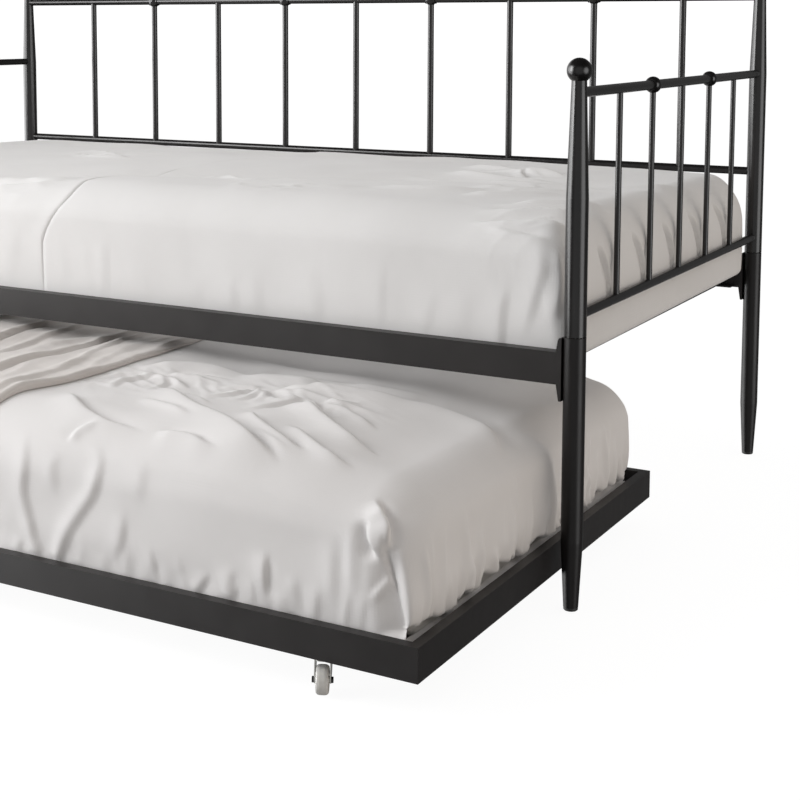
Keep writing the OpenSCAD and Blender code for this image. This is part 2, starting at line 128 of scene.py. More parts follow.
def steel(name, base, high, rough, scratch):
    """Zinc-plated steel: cloudy plating, duller patches, and fine scratches across the axis that
    has the largest number in `scratch`."""
    m, t, s = new_material(name)
    s.inputs["Metallic"].default_value = 1.0
    t.links.new(ramp(t, noise(t, 260, 4, 0.6), (0.3, base), (0.72, high)), s.inputs["Base Color"])
    t.links.new(spread(t, noise(t, 420, 4, 0.6), rough - 0.06, rough + 0.1), s.inputs["Roughness"])
    bump(t, s, (noise(t, 300, 3, 0.6, scratch), 0.25, 0.0002))
    return m


def plastic(name, base, high, rough, scatter=0.0):
    """Moulded plastic with a fine matte texture."""
    m, t, s = new_material(name)
    t.links.new(ramp(t, noise(t, 60, 4, 0.6), (0.3, base), (0.7, high)), s.inputs["Base Color"])
    t.links.new(spread(t, noise(t, 150, 3, 0.6), rough - 0.05, rough + 0.06), s.inputs["Roughness"])
    if scatter:
        s.inputs["Subsurface Weight"].default_value = scatter
        s.inputs["Subsurface Radius"].default_value = (0.004, 0.004, 0.0035)
    bump(t, s, (noise(t, 1400, 2, 0.5), 0.15, 0.0003))
    return m


def weave(tree, threads):
    """Height of a plain weave, on faces of any direction. One thread is 2 pi / threads metres."""
    coord = tree.nodes.new("ShaderNodeTexCoord")
    waves = []
    for axis in "XYZ":
        w = tree.nodes.new("ShaderNodeTexWave")
        w.wave_type, w.bands_direction, w.wave_profile = "BANDS", axis, "SIN"
        w.inputs["Scale"].default_value = threads / 20
        w.inputs["Distortion"].default_value = 1.2
        w.inputs["Detail"].default_value = 2.0
        w.inputs["Detail Scale"].default_value = 1.5
        tree.links.new(coord.outputs["Object"], w.inputs["Vector"])
        waves.append(w.outputs["Fac"])
    total = waves[0]
    for w in waves[1:]:
        add = tree.nodes.new("ShaderNodeMath")
        add.operation = "ADD"
        tree.links.new(total, add.inputs[0])
        tree.links.new(w, add.inputs[1])
        total = add.outputs[0]
    return total


def fabric(name, low, high, rough, threads, slub, sheen=0.15):
    """Woven cotton: a plain weave, slubs, and slow changes of colour."""
    m, t, s = new_material(name)
    t.links.new(ramp(t, noise(t, 3.5, 4, 0.6), (0.3, low), (0.7, high)), s.inputs["Base Color"])
    t.links.new(spread(t, noise(t, 40, 3, 0.6), rough - 0.05, rough + 0.05), s.inputs["Roughness"])
    s.inputs["Specular IOR Level"].default_value = 0.3
    s.inputs["Sheen Weight"].default_value = sheen
    s.inputs["Sheen Roughness"].default_value = 0.5
    bump(t, s,
         (noise(t, 14, 4, 0.55), 0.12, 0.004),
         (noise(t, 110, 3, 0.6, (1, 1, 0.35)), slub, 0.0008),
         (weave(t, threads), 0.12, 0.0003))
    return m


MATERIALS = {
    "tube": powder_coat("powder_tube", (0.0075, 0.0068, 0.0068), (0.0130, 0.0118, 0.0118), 0.21),
    # the legs take a rougher, duller copy of the tubes' coat, and its colour is a little darker as
    # painted shade, so the legs low down read darker than the same coat above
    "leg": powder_coat("powder_leg_shaded", (0.0070, 0.0060, 0.0060), (0.0115, 0.0100, 0.0100), 0.34, 0.3),
    "rail": powder_coat("powder_rail", (0.0128, 0.0112, 0.0110), (0.0182, 0.0160, 0.0156),
                        0.42, 0.4),
    "zinc": steel("zinc_steel", (0.52, 0.51, 0.48), (0.74, 0.73, 0.70), 0.27, (1, 1, 7)),
    "axle": steel("axle_steel", (0.035, 0.035, 0.037), (0.09, 0.09, 0.09), 0.38, (6, 1, 1)),
    "nylon": plastic("nylon_wheel", (0.66, 0.65, 0.62), (0.78, 0.77, 0.745), 0.42, 0.25),
    "glide": plastic("black_glide", (0.012, 0.012, 0.012), (0.022, 0.022, 0.022), 0.55),
    "upper_sheet": fabric("upper_sheet", (0.745, 0.735, 0.730), (0.790, 0.780, 0.775),
                          0.80, 1500, 0.12),
    "lower_sheet": fabric("lower_sheet", (0.745, 0.728, 0.722), (0.790, 0.772, 0.766),
                          0.72, 1500, 0.16),
    "blanket": fabric("blanket", (0.570, 0.530, 0.505), (0.700, 0.662, 0.636),
                      0.85, 900, 0.35, 0.3),
    "ticking": fabric("ticking", (0.70, 0.69, 0.67), (0.78, 0.77, 0.75), 0.88, 1000, 0.3),
}


def paint(obj, material):
    obj.data.materials.clear()
    obj.data.materials.append(MATERIALS[material])


# a node takes the first look whose names it starts with, or else "tube"
LOOKS = {
    "zinc": ("leg_sleeves", "panel_studs", "bracket_bolts", "slat_screws", "caster_stems",
             "caster_nuts", "caster_balls", "fork_"),
    "axle": ("axle_",),
    "nylon": ("wheel_",),
    "glide": ("foot_glides",),
    # the legs take the coat with painted shade
    "leg": ("leg_front", "leg_back"),
    "rail": ("front_rail", "back_rail", "front_ledge", "back_ledge", "slats", "rail_brackets",
             "trundle_", "caster_plates"),
}
for node_name, node in nodes.items():
    look = next((k for k, names in LOOKS.items() if node_name.startswith(names)), "tube")
    paint(node, look)


# -------- soft goods

def smooth(t):
    t = np.clip(t, 0, 1)
    return t * t * (3 - 2 * t)


def fade(x, a, b):
    """0 at a and before, 1 at b and after (or the other way round when b < a)."""
    return smooth((x - a) / (b - a))


def wave_noise(p, seed, size, octaves, gain=0.55, stretch=(1, 1, 1)):
    """Smooth noise of about that feature size, from sums of sines, about -1 to 1."""
    rng = np.random.default_rng(seed)
    q = p / (size * np.array(stretch, float))
    total, amp, norm = np.zeros(len(p)), 1.0, 0.0
    for o in range(octaves):
        for _ in range(6):
            d = rng.normal(size=3)
            d *= (2.0 ** o) * math.pi / np.linalg.norm(d)
            total += amp * np.sin(q @ d + rng.uniform(0, 2 * math.pi))
        norm += amp * 1.7
        amp *= gain
    return total / norm


def to_line(p, pts):
    """Each point's place along a polyline from 0 to 1, the vector from the line to the point,
    and the line's direction there."""
    pts = np.array(pts, float)
    seg = pts[1:] - pts[:-1]
    size = np.linalg.norm(seg, axis=1)
    start = np.concatenate([[0], np.cumsum(size)])
    best = np.full(len(p), 1e9)
    along = np.zeros(len(p))
    away, way = np.zeros((len(p), 3)), np.zeros((len(p), 3))
    for a, s, n, at in zip(pts[:-1], seg, size, start):
        t = np.clip((p - a) @ s / (n * n), 0, 1)
        off = p - (a + t[:, None] * s)
        d = np.linalg.norm(off, axis=1)
        near = d < best
        best[near], along[near], away[near] = d[near], (at + t[near] * n) / start[-1], off[near]
        way[near] = s / n
    return along, away, way


def curve(pts, n=8):
    """A smooth curve through the points."""
    pts = np.array(pts, float)
    if len(pts) < 3:
        return pts
    ext = np.vstack([2 * pts[0] - pts[1], pts, 2 * pts[-1] - pts[-2]])
    out = []
    for i in range(1, len(ext) - 2):
        a, b, c, d = ext[i - 1:i + 3]
        for t in np.linspace(0, 1, n, endpoint=False):
            out.append(0.5 * (2 * b + (c - a) * t + (2 * a - 5 * b + 4 * c - d) * t * t
                              + (3 * b - a - 3 * c + d) * t ** 3))
    return np.array(out + [pts[-1]])


def fold(p, n, pts, height, rise, fall=None, gully=0.35, ends=(0.25, 0.4)):
    """Height that one fold along a curve adds. Seen along the curve it rises over `rise` from its
    right, and drops on its left over `fall` into a gully of that share of its height. Without
    `fall` it is the same on both sides. n are the surface normals at p."""
    pts = curve(pts)
    reach = 3 * max(rise, fall or 0) + 0.02
    near = np.flatnonzero(np.all((p > pts.min(0) - reach) & (p < pts.max(0) + reach), axis=1))
    out = np.zeros(len(p))
    if not len(near):
        return out
    t, off, way = to_line(p[near], pts)
    end = smooth(t / max(ends[0], 1e-3)) * smooth((1 - t) / max(ends[1], 1e-3))
    right = np.cross(way, n[near])
    right /= np.maximum(np.linalg.norm(right, axis=1), 1e-9)[:, None]
    s = -np.einsum("ij,ij->i", off, right)
    lift = np.abs(np.einsum("ij,ij->i", off, n[near]))
    if fall is None:
        h = np.exp(-(np.abs(s) / rise) ** 1.7)
    else:
        beyond = np.maximum(s - fall, 0)
        left = (1 + gully) * (1 - smooth(s / fall)) - gully * np.exp(-(beyond / (1.6 * fall)) ** 2)
        h = np.where(s < 0, np.exp(-(np.abs(s) / rise) ** 1.7), left)
    out[near] = height * end * h * (lift < 0.05)
    return out


class Box:
    """The shell of a padded box as a grid: top, sides and a strip turned in under it.
    With open_left the shell has no left side, and its edge follows open_left(y share, z share)."""

    def __init__(self, lo, hi, step, under, open_left=None):
        lo, hi = np.array(lo, float), np.array(hi, float)
        self.lo, self.hi = lo, hi
        size = hi - lo
        nx, ny, nz = (max(2, int(round(v / step))) for v in size)
        rings = int(round(under / step / 2))
        xs, ys, zs = np.linspace(0, 1, nx + 1), np.linspace(0, 1, ny + 1), np.linspace(1, 0, nz + 1)
        if open_left is None:                  # the smooth left half takes a wider step
            left, right = np.linspace(0, 0.45, nx // 4), np.linspace(0.45, 1, nx * 11 // 20)
            xs = np.concatenate([left, right[1:]])
            nx = len(xs) - 1
        gx, gy = np.meshgrid(xs, ys, indexing="ij")
        top = np.stack([gx, gy, np.ones_like(gx)], -1).reshape(-1, 3)
        index = np.arange((nx + 1) * (ny + 1)).reshape(nx + 1, ny + 1)
        loop = [(i, 0) for i in range(nx)] + [(nx, j) for j in range(ny)]
        loop += [(i, ny) for i in range(nx, 0, -1)]
        if open_left is None:
            loop += [(0, j) for j in range(ny, 0, -1)]
        else:
            loop += [(0, ny)]
        ring = np.array([index[i, j] for i, j in loop])
        uv = top[ring][:, :2]
        levels = [(uv, z) for z in zs[1:]]
        centre = np.array([0.5, 0.5])
        for k in range(1, rings + 1):
            inset = under * k / rings
            room = 0.5 - inset / size[:2]
            inner = centre + np.clip(uv - centre, -room, room)
            if open_left is not None:
                inner[:, 0] = np.minimum(uv[:, 0], 1 - inset / size[0])
            levels.append((inner, 0.0))
        points, rows, count = [top], [ring], len(top)
        for xy, z in levels:                   # row by row down the sides, then in below
            points.append(np.column_stack([xy, np.full(len(xy), z)]))
            rows.append(np.arange(count, count + len(xy)))
            count += len(xy)

        def cells(grid):
            corners = grid[:-1, :-1], grid[1:, :-1], grid[1:, 1:], grid[:-1, 1:]
            return np.stack(corners, -1).reshape(-1, 4)

        faces = [cells(index)]
        for upper, lower in zip(rows[:-1], rows[1:]):
            f = np.stack([upper, lower, np.roll(lower, -1), np.roll(upper, -1)], -1)
            faces.append(f if open_left is None else f[:-1])
        if not rings:                          # a thin layer, closed below by a grid like its top
            inside = np.setdiff1d(np.arange(len(top)), ring)
            below = np.empty(len(top), int)
            below[ring], below[inside] = rows[-1], count + np.arange(len(inside))
            points.append(top[inside] * [1, 1, 0])
            faces.append(cells(below[index])[:, ::-1])
        self.unit = np.vstack(points)
        self.faces = np.vstack(faces)
        self.last_ring = rows[-1]
        self.open_left = open_left

    def place(self, top_round, low_round, back_round):
        """The rounded box. A rounding is (at the ends, at front and back, upright). back_round
        takes over towards the back, over the whole height."""
        u = self.unit
        lo, hi = self.lo, self.hi
        p = lo + u * (hi - lo)
        if self.open_left is not None:
            edge = self.open_left(u[:, 1], u[:, 2])
            p[:, 0] = edge + u[:, 0] * (hi[0] - edge)
        t, rear = u[:, 2], smooth(u[:, 1])
        top = [a + (b - a) * rear for a, b in zip(top_round, back_round)]
        r = []
        for k in (0, 1):
            low = low_round[k] + (0.6 * back_round[k] - low_round[k]) * rear
            r.append(low + (top[k] - low) * smooth(t))
        r.append(np.where(t > 0.5, top[2], low_round[2]))
        q = p.copy()
        for k in (0, 1):
            left = np.full_like(t, -1e9) if k == 0 and self.open_left is not None else lo[k] + r[k]
            q[:, k] = np.clip(p[:, k], left, hi[k] - r[k])
        q[:, 2] = np.clip(p[:, 2], lo[2] + low_round[2], hi[2] - top[2])
        r = np.stack(r, 1)
        d = (p - q) / r
        big, long = np.abs(d).max(1), np.linalg.norm(d, axis=1)
        f = np.where(long > 1e-9, big / np.maximum(long, 1e-9), 1)
        return q + d * f[:, None] * r

    def mesh(self, name, points, cap=False):
        me = bpy.data.meshes.new(name)
        faces = self.faces.tolist()
        if cap:
            faces.append(self.last_ring[::-1].tolist())
        me.from_pydata(points.tolist(), [], faces)
        me.validate()
        me.update()
        me.polygons.foreach_set("use_smooth", [True] * len(me.polygons))
        obj = bpy.data.objects.new(name, me)
        scene.collection.objects.link(obj)
        return obj

    def normals(self, p):
        a, b, c, d = (p[self.faces[:, i]] for i in range(4))
        n = np.cross(c - a, d - b)
        out = np.zeros_like(p)
        for i in range(4):
            for k in range(3):
                out[:, k] += np.bincount(self.faces[:, i], n[:, k], len(p))
        return out / np.maximum(np.linalg.norm(out, axis=1), 1e-12)[:, None]

    def relax(self, p, share=0.3):
        """The points moved by that share of the way to the mean of their neighbours."""
        e = np.vstack([self.faces[:, [i, (i + 1) % 4]] for i in range(4)])
        count = np.bincount(e[:, 0], minlength=len(p)) + np.bincount(e[:, 1], minlength=len(p))
        total = np.stack([np.bincount(e[:, 0], p[e[:, 1], k], len(p))
                          + np.bincount(e[:, 1], p[e[:, 0], k], len(p)) for k in range(3)], 1)
        return p + (total / count[:, None] - p) * share


def centre_of(*names):
    lo = np.min([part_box(n)[0] for n in names], axis=0)
    hi = np.max([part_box(n)[1] for n in names], axis=0)
    return (lo + hi) / 2


BED_Y = float(centre_of("front_rail", "back_rail")[1])      # the bed's own middle
SPINDLES = [BED_Y + i * 0.161 for i in range(-2, 3)]
up_lo, up_hi = (np.array(v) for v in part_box("mattress"))
low_lo, low_hi = (np.array(v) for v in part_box("trundle_mattress"))
bl_lo, bl_hi = (np.array(v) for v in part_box("trundle_blanket"))
rail_top = float(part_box("trundle_right_rail")[1][2])
FINE = 0.0042              # grid step of the visible pieces
COARSE = 0.022                                      # grid step of the pads inside them
PAD_UNDER = 0.30                                    # width of the grid under a pad
UPPER_TUCK, TOP_TUCK, LOWER_TUCK = 0.07, 0.012, 0.06        # how far each sheet is turned in below
TOP_EDGE = -0.03                                    # x of the top sheet's free edge
LOWER_ROUND = (0.085, 0.118, 0.092)                 # rounding of the lower mattress's top
SKIRT_FOOT = 0.098                                  # where the lower sheet's folds end


def star(p, n, centre, inner, count, length, height, rise, seed, angle):
    """A pinched spot on the top: short folds of uneven length that run out from it, over that
    range of angles."""
    rng = np.random.default_rng(seed)
    h = np.zeros(len(p))
    for i in range(count):
        a = math.radians(angle[0] + (angle[1] - angle[0]) * (i + rng.uniform(0.1, 0.9)) / count)
        reach = length * rng.uniform(0.5, 1.25)
        d = np.array([math.cos(a), math.sin(a), 0])
        start = np.array(centre) + d * inner * rng.uniform(0.2, 1)
        bend = np.array([-d[1], d[0], 0]) * reach * rng.uniform(-0.2, 0.2)
        h += fold(p, n, [start, start + d * reach * 0.5 + bend, start + d * reach],
                  height * rng.uniform(0.5, 1.2), rise * rng.uniform(0.8, 1.6),
                  rise * rng.uniform(0.5, 0.8), 0.6, (0.12, 0.6))
    return 1.3 * height * np.tanh(h / (1.3 * height))


def crumple(p, centre, reach, turn, size, height, seed):
    """Fine broken creases on the top, in an oval of that reach (along, across) whose long axis is
    turned by `turn` degrees, and which the creases run along."""
    a = math.radians(turn)
    x, y = p[:, 0] - centre[0], p[:, 1] - centre[1]
    along, across = x * math.cos(a) + y * math.sin(a), y * math.cos(a) - x * math.sin(a)
    flat = np.column_stack([along / 4.5, across, np.zeros(len(p))])
    inside = np.exp(-(along / reach[0]) ** 2 - (across / reach[1]) ** 2)
    inside = inside * (np.abs(p[:, 2] - centre[2]) < 0.06)
    crease = 1 - 2.4 * np.abs(wave_noise(flat, seed, size, 2, 0.6))
    return height * inside * np.clip(crease, -0.8, 1)


def pleats(p, n, count, along, place, z_from, z_to, height, rise, lean, seed, ends=(0.5, 0.02)):
    """Upright folds in a skirt. place(share, z) is the point of the skirt at that share of its
    length, along gives the shares' range, z_from the range of their tops."""
    rng = np.random.default_rng(seed)
    h = np.zeros(len(p))
    for i in range(count):
        u = along[0] + (along[1] - along[0]) * (i + rng.uniform(0, 1)) / count
        z = rng.uniform(*z_from)
        shift = rng.uniform(-lean, lean)
        pts = [place(u, z), place(u + shift * 0.6, (z + z_to) / 2), place(u + shift, z_to)]
        w = rng.uniform(*rise)
        h += fold(p, n, pts, rng.uniform(*height), w, w * rng.uniform(0.6, 1.2), 0.3, ends)
    return h


def cushion(box, rounds, grow, crown, slump, lumps, seed):
    """A padded box: crowned, slumping towards its ends and back, uneven. Returns its points,
    normals, the height to add along them, and how far each point belongs to the top and to the
    sides. slump is (ends, back, back corners)."""
    p = box.place(*rounds)
    lo, hi = box.lo, box.hi
    u = (p - (lo + hi) / 2) / ((hi - lo) / 2)
    sink = slump[0] * fade(np.abs(p[:, 0]), hi[0] - 0.36, hi[0]) ** 1.3
    sink = sink + slump[1] * fade(u[:, 1], -0.2, 0.9)
    sink += slump[2] * fade(np.abs(p[:, 0]), hi[0] - 0.26, hi[0]) * fade(u[:, 1], -0.1, 0.8)
    p[:, 2] -= sink * fade(p[:, 2], lo[2] + 0.05, hi[2])
    n = box.normals(p)
    top, side = fade(n[:, 2], 0.3, 0.9), fade(np.abs(n[:, 2]), 0.8, 0.3)
    h = crown * top * (1 - np.abs(u[:, 0]).clip(0, 1) ** 4) * (1 - np.abs(u[:, 1]).clip(0, 1) ** 3)
    h += top * lumps * wave_noise(p, seed, 0.40, 2) + lumps * 0.4 * wave_noise(p, seed + 1, 0.13, 2)
    h *= fade(p[:, 2], lo[2] + 0.005, lo[2] + 0.07)
    return p, n, h + grow, top, side


def upper_shape(box, grow):
    """The upper mattress: its points, normals and the height to add along them."""
    rounds = (0.062, 0.085, 0.066), (0.028, 0.026, 0.020), (0.066, 0.045, 0.100)
    p, n, h, top, side = cushion(box, rounds, grow, crown=0.003, slump=(0.005, 0.008, 0.0),
                                 lumps=0.0022, seed=3)
    by, zt = BED_Y, up_hi[2]
    valley = [(-0.95, by - 0.40, zt), (-0.33, by - 0.34, zt), (0.0, by - 0.215, zt),
              (0.5, by - 0.02, zt), (0.95, by + 0.10, zt)]
    h += top * fold(p, n, valley, -0.0140, 0.066, ends=(0.1, 0.1))
    h += top * fold(p, n, [(-0.9, by + 0.30, zt), (0.0, by + 0.33, zt), (0.9, by + 0.36, zt)],
                    -0.0035, 0.06, ends=(0.1, 0.1))
    h += side * 0.0035 * np.sin(np.pi * ((p[:, 2] - up_lo[2]) / (up_hi[2] - up_lo[2])).clip(0, 1))
    return p, n, h


def upper_wrinkles(p, n):
    """The folds that lie in the upper sheets. by is the bed's middle, zt the top, f the front."""
    by, zt, f = BED_Y, up_hi[2] + 0.003, up_lo[1] - 0.003
    h = np.zeros(len(p))

    def on_top(height, rise, fall, *xy):
        scale = 1.5 if xy[0][0] > 0.4 else 0.95         # they stand higher at the right
        return fold(p, n, [(a, by + b, zt) for a, b in xy], scale * height, rise, fall)

    # the pinch at the back, left of the middle
    h += star(p, n, (-0.36, by + 0.06, zt), 0.02, 7, 0.10, 0.0034, 0.010, 11, (150, 390))
    h += on_top(0.0062, 0.020, 0.008, (-0.49, 0.13), (-0.38, 0.08), (-0.24, -0.02))
    h += on_top(0.0050, 0.014, 0.007, (-0.44, 0.03), (-0.33, -0.01), (-0.20, -0.01))
    # the short folds that run up to the top sheet's edge from the left
    for x, y, d in [(-0.17, -0.455, 0.15), (-0.15, -0.425, 0.19), (-0.12, -0.40, 0.12),
                    (-0.22, -0.44, 0.12), (-0.10, -0.37, 0.10)]:
        h += on_top(0.0046, 0.012, 0.007, (x - d / 2, y - 0.015), (x, y), (x + d / 2, y + 0.025))
    h += on_top(0.0045, 0.016, 0.009, (-0.60, -0.42), (-0.48, -0.40), (-0.36, -0.40))
    h += on_top(0.0035, 0.020, 0.010, (-0.70, -0.30), (-0.60, -0.33), (-0.50, -0.34))
    # the middle
    h += on_top(0.0058, 0.016, 0.007, (0.08, -0.19), (0.14, -0.225), (0.22, -0.245))
    h += on_top(0.0040, 0.012, 0.006, (0.17, -0.27), (0.22, -0.275), (0.28, -0.265))
    h += on_top(0.0038, 0.024, 0.012, (0.20, -0.10), (0.30, -0.13), (0.42, -0.12))
    for x, y, turn, seed in ((0.60, 0.13, 10, 62), (-0.36, 0.07, 20, 63), (-0.16, -0.42, 8, 64),
                             (0.36, -0.36, 5, 65), (0.76, -0.16, 25, 66), (0.16, -0.23, -15, 67)):
        h += crumple(p, (x, by + y, zt), (0.11, 0.050), turn, 0.022, 0.0022, seed)
    h += on_top(0.0050, 0.018, 0.008, (0.33, -0.33), (0.42, -0.33), (0.52, -0.29))
    h += on_top(0.0040, 0.012, 0.007, (0.26, -0.39), (0.33, -0.385), (0.38, -0.36))
    # the pinch at the back, right of the middle, and its long folds
    h += star(p, n, (0.60, by + 0.14, zt), 0.03, 8, 0.11, 0.0048, 0.011, 17, (-70, 60))
    for a, b, c, t in [((0.44, 0.22), (0.58, 0.15), (0.78, 0.13), 0.0068),
                       ((0.46, 0.10), (0.60, 0.06), (0.76, 0.08), 0.0060),
                       ((0.40, 0.02), (0.56, -0.02), (0.74, 0.00), 0.0048),
                       ((0.60, -0.09), (0.74, -0.10), (0.90, -0.04), 0.0052),
                       ((0.64, -0.20), (0.76, -0.20), (0.88, -0.12), 0.0058),
                       ((0.68, -0.30), (0.76, -0.27), (0.86, -0.20), 0.0056),
                       ((0.50, -0.28), (0.62, -0.27), (0.72, -0.21), 0.0044),
                       ((0.78, 0.02), (0.86, 0.06), (0.93, 0.16), 0.0044),
                       ((0.80, -0.36), (0.88, -0.32), (0.93, -0.25), 0.0054)]:
        h += on_top(t, 0.020, 0.009, a, b, c)
    # pulled folds at the front right corner
    for y, z0, t in [(-0.37, 0.597, 0.0060), (-0.41, 0.594, 0.0068), (-0.45, 0.588, 0.0072)]:
        h += fold(p, n, [(0.77, by + y - 0.02, z0), (0.85, by + y - 0.01, z0),
                         (0.935, by + y + 0.02, z0 - 0.02)], t, 0.016, 0.008, 0.6, (0.45, 0.2))
    h += fold(p, n, [(0.80, f + 0.02, 0.575), (0.87, f + 0.012, 0.568), (0.92, f + 0.016, 0.560)],
              0.0048, 0.012, 0.008, 0.4, (0.4, 0.3))
    h += fold(p, n, [(0.895, f + 0.006, 0.560), (0.905, f + 0.004, 0.525), (0.893, f, 0.47),
                     (0.870, f, 0.40)], 0.0030, 0.020, 0.018, 0.2, (0.3, 0.5))
    h += crumple(p, (0.87, by - 0.435, 0.580), (0.050, 0.028), 20, 0.018, 0.0022, 61)
    h += fold(p, n, [(0.925, f + 0.016, 0.555), (0.932, f + 0.012, 0.50), (0.925, f + 0.010, 0.43)],
              0.0045, 0.010, 0.010, 0.3, (0.2, 0.4))
    h += fold(p, n, [(0.850, f, 0.50), (0.840, f, 0.45), (0.835, f, 0.39)],
              0.0026, 0.022, 0.018, 0.3, (0.4, 0.1))
    # faint upright folds in the front
    h += pleats(p, n, 26, (-0.93, 0.84), lambda u, z: (u, f, z), (0.46, 0.57), 0.385,
                (0.0004, 0.0015), (0.020, 0.044), 0.03, 19, (0.4, 0.45))
    # where the end presses on each spindle the cover folds in beside it
    for s in SPINDLES:
        for x in (-up_hi[0], up_hi[0]):
            h += fold(p, n, [(x, s - 0.060, 0.553), (x, s - 0.034, 0.515), (x, s - 0.014, 0.482),
                             (x, s - 0.006, 0.450)], -0.0290, 0.0062, 0.0042, 0.20, (0.45, 0.20))
            h += fold(p, n, [(x, s, 0.53), (x, s, 0.50), (x, s, 0.43)],
                      -0.0050, 0.016, ends=(0.5, 0.3))
    return h


def declare(obj, look, body, instead_of=None):
    """The piece's material, the body it rides on, and the CAD node it stands for."""
    paint(obj, look)
    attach(obj, body)
    if instead_of:
        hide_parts(instead_of)


def make_upper():
    """The upper mattress, its fitted sheet, and the top sheet over its right half."""
    inner = 0.005                              # the pad's box is smaller by this
    core_box = Box(up_lo + [inner, inner, 0], up_hi - inner, COARSE, PAD_UNDER)
    p, n, h = upper_shape(core_box, -0.012)
    core = core_box.mesh("day_mattress", p + n * np.minimum(h, -0.006)[:, None], cap=True)
    declare(core, "ticking", "bed", "mattress")

    def edge(uy, uz):
        """The top sheet's left edge: straight across the top, then leaning back down the front."""
        drop = smooth((1 - uz) / 0.52) * (uy < 0.5)
        return TOP_EDGE - 0.052 * drop + 0.003 * np.sin(uy * 19) + 0.0015 * np.sin(uy * 43 + 1)

    size = up_hi - up_lo
    box = Box(up_lo, up_hi, FINE, UPPER_TUCK)
    p, n, h = upper_shape(box, -0.001)
    h += upper_wrinkles(p, n) * fade(p[:, 0], 0.03, -0.02)   # the top sheet hides the rest
    uy, uz = (p[:, 1] - up_lo[1]) / size[1], (p[:, 2] - up_lo[2]) / size[2]
    from_edge = p[:, 0] - edge(uy, uz)
    under = fade(from_edge, -0.003, 0.002)
    # it swells a little beside the top sheet's edge, and sinks under it
    line = fade(p[:, 2], up_lo[2] + 0.02, up_lo[2] + 0.13)
    line = line * (0.35 + 0.65 * fade(p[:, 1], BED_Y - 0.20, BED_Y - 0.40))
    h += ((1 - under) * 0.0018 * line * fade(from_edge, -0.04, -0.003)
          - 0.0045 * under * fade(p[:, 2], up_lo[2], up_lo[2] + 0.05))
    fitted = box.mesh("day_fitted_sheet", box.relax(p + n * h[:, None]))
    declare(fitted, "upper_sheet", "bed")

    over = Box(up_lo, up_hi, FINE, TOP_TUCK, open_left=edge)
    p, n, h = upper_shape(over, 0.0012)
    h += upper_wrinkles(p, n)
    h -= 0.0012 * np.exp(-((p[:, 0] - edge(over.unit[:, 1], over.unit[:, 2])) / 0.005) ** 2)
    top_sheet = over.mesh("day_top_sheet", over.relax(p + n * h[:, None]))
    solid = top_sheet.modifiers.new("thickness", "SOLIDIFY")
    solid.thickness, solid.offset = 0.0014, -1.0
    declare(top_sheet, "upper_sheet", "bed")


def lower_shape(box, grow):
    """The lower mattress, with what cushion returns."""
    rounds = LOWER_ROUND, (0.010, 0.010, 0.010), (0.060, 0.046, 0.070)
    return cushion(box, rounds, grow, crown=0.003, slump=(0.028, 0.0, 0.027), lumps=0.0040, seed=23)


